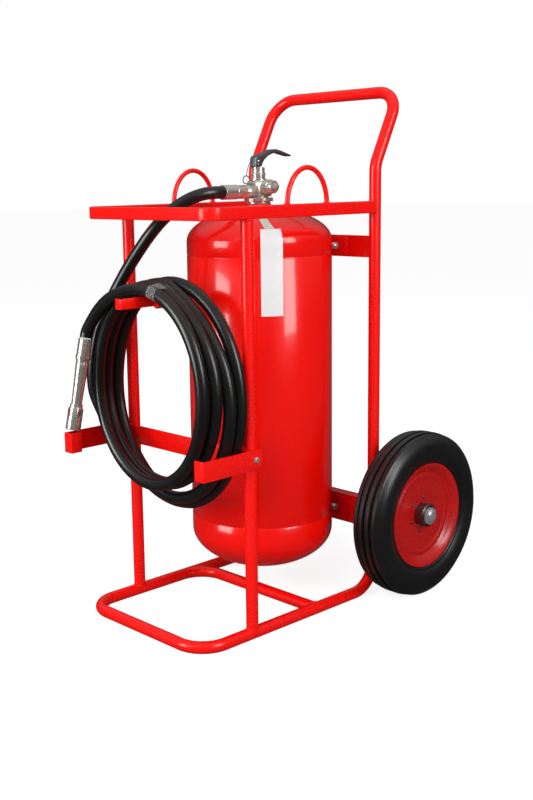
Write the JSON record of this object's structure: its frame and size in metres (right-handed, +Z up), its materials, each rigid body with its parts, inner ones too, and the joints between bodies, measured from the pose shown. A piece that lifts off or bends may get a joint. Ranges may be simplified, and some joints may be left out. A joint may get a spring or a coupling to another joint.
{
  "type": "wheeled fire extinguisher",
  "caption": "Wheeled trolley fire extinguisher: tall pressure cylinder with lever valve on a bent tube frame, coiled hose hung in front, solid rubber wheels.",
  "frame": {"origin": "on the floor under the middle of the trolley, hose left out", "axes": "+Z up, +X to the right-hand wheel seen from the handle side's back, -Y the hose side, +Y the handle side"},
  "size_m": [0.5918, 0.7961, 1.0989],
  "materials": {
    "frame_paint": "gloss red powder coat",
    "cylinder_paint": "high gloss red enamel",
    "rim_paint": "satin dark red paint",
    "tyre_rubber": "matt black solid rubber",
    "hose_rubber": "satin black rubber with a fine cloth mark",
    "nickel_plate": "bright nickel plate",
    "zinc_plate": "zinc plate",
    "hub_steel": "oiled dark steel",
    "cast_lever": "grey cast metal",
    "brass": "plain brass",
    "label_film": "plain white film label",
    "clear_strap": "clear plastic strap"
  },
  "bodies": {
    "trolley": {"base_front_bend": "frame_paint", "base_side_right": "frame_paint", "base_side_left": "frame_paint", "rear_leg_left": "frame_paint", "handle_loop": "frame_paint", "front_upright_right": "frame_paint", "front_upright_left": "frame_paint", "top_ring": "frame_paint", "lift_hoop_right": "frame_paint", "lift_hoop_left": "frame_paint", "rear_cross_plate": "frame_paint", "rear_cross_channel": "frame_paint", "cylinder_lug_upper": "frame_paint", "cylinder_lug_lower": "frame_paint", "hook_arm": "frame_paint", "hook_stem": "frame_paint", "cradle_crossbar": "frame_paint", "cradle_arm_right": "frame_paint", "cradle_arm_left": "frame_paint", "lug_bolt_upper_right": "zinc_plate", "lug_bolt_upper_left": "zinc_plate", "lug_bolt_lower_right": "zinc_plate", "lug_bolt_lower_left": "zinc_plate", "cradle_bolt_right": "zinc_plate", "cradle_bolt_left": "zinc_plate", "lever_pin": "zinc_plate", "stub_axle_right": "hub_steel", "stub_axle_left": "hub_steel", "cylinder_shell": "cylinder_paint", "valve_body": "nickel_plate", "collar_nut": "nickel_plate", "gland": "nickel_plate", "relief_plug": "nickel_plate", "coupling_nut": "nickel_plate", "hose_ferrule": "nickel_plate", "nozzle_ferrule": "nickel_plate", "dip_tube": "brass", "label": "label_film", "hose_lead": "hose_rubber", "hose_coil": "hose_rubber", "hose_tail": "hose_rubber", "coil_tie": "clear_strap", "nozzle_barrel": "nickel_plate", "nozzle_head": "nickel_plate", "spindle_spring": "zinc_plate"},
    "wheel_right": {"tyre_right": "tyre_rubber", "rim_right": "rim_paint", "hub_right": "hub_steel", "bearing_inner_right": "zinc_plate", "bearing_outer_right": "zinc_plate", "hub_cap_right": "zinc_plate"},
    "wheel_left": {"tyre_left": "tyre_rubber", "rim_left": "rim_paint", "hub_left": "hub_steel", "bearing_inner_left": "zinc_plate", "bearing_outer_left": "zinc_plate", "hub_cap_left": "zinc_plate"},
    "lever": {"lever": "cast_lever"},
    "spindle": {"spindle": "brass"},
    "safety_pin": {"safety_pin": "zinc_plate"}
  },
  "joints": [
    {"name": "wheel_right_spin", "type": "hinge", "parent": "trolley", "child": "wheel_right", "pos_m": [0.2477, 0.2163, 0.1825], "axis": [1, 0, 0], "continuous": true},
    {"name": "wheel_left_spin", "type": "hinge", "parent": "trolley", "child": "wheel_left", "pos_m": [-0.2477, 0.2163, 0.1825], "axis": [1, 0, 0], "continuous": true},
    {"name": "lever_press", "type": "hinge", "parent": "trolley", "child": "lever", "pos_m": [0, -0.0225, 0.9405], "axis": [-1, 0, 0], "range_deg": [0, 11], "stiffness_Nm_per_rad": 0.8, "springref_deg": -5.73},
    {"name": "spindle_travel", "type": "slide", "parent": "trolley", "child": "spindle", "axis": [0, 0, -1], "range_m": [0, 0.0023], "deforming": ["spindle_spring"]},
    {"name": "safety_pin_pull", "type": "slide", "parent": "trolley", "child": "safety_pin", "axis": [-1, 0, 0], "range_m": [0, 0.036]}
  ],
  "couplings": [
    {"joint": "spindle_travel", "follows": "lever_press", "m_per_rad": 0.0115}
  ]
}
